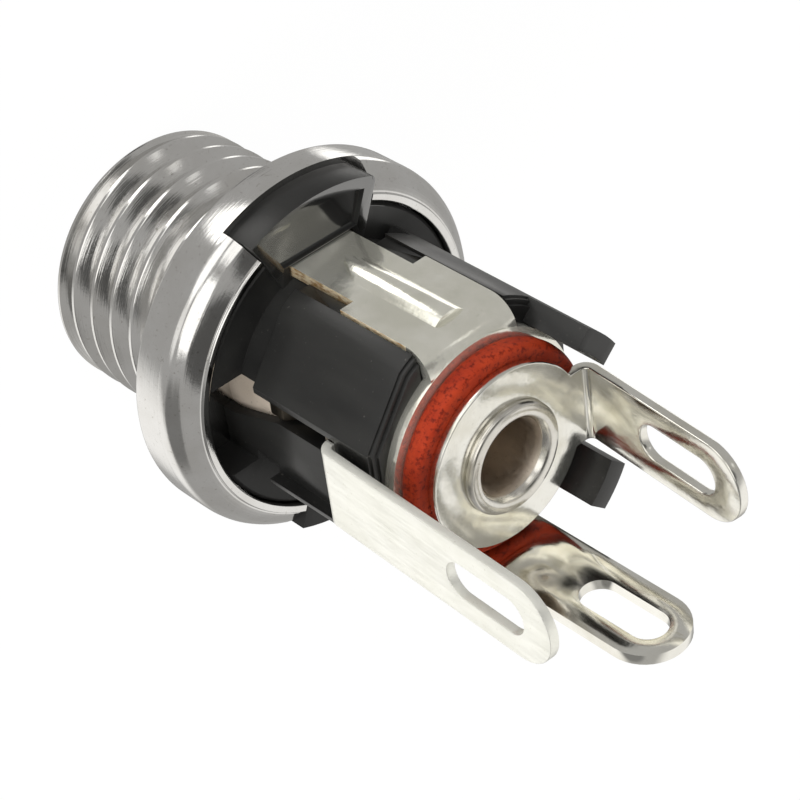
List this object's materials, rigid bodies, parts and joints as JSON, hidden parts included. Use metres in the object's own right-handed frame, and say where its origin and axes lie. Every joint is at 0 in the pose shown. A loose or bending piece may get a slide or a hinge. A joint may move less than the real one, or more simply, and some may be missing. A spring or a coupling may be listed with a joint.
{
  "type": "dc barrel jack",
  "caption": "Round panel-mount dc barrel jack with a threaded nose, a seating flange and slotted solder lugs behind.",
  "frame": {"origin": "on the jack's axis, in the plane of the flange face that seats on the panel", "axes": "+Z along the axis from the plug side to the solder side; +Y towards the strap of the ground yoke, away from the ground lug; +X towards the lug of the centre pin; the switch lug is on -X"},
  "size_m": [0.0154, 0.0154, 0.0289],
  "materials": {
    "bushing_nickel": "nickel-plated turned brass, satin",
    "black_plastic": "moulded thermoplastic, semi-gloss",
    "yoke_plate": "plated brass sheet, bright",
    "red_fibre": "vulcanised fibre, matt",
    "terminal_plate": "plated brass sheet, bright",
    "pin_nickel": "nickel-plated turned brass",
    "switch_plate": "plated brass sheet, satin"
  },
  "bodies": {
    "root": {"threaded_bushing": "bushing_nickel", "housing": "black_plastic", "ground_yoke": "yoke_plate", "fibre_washer": "red_fibre", "pin_terminal": "terminal_plate", "centre_pin": "pin_nickel", "switch_terminal": "switch_plate"}
  },
  "joints": []
}
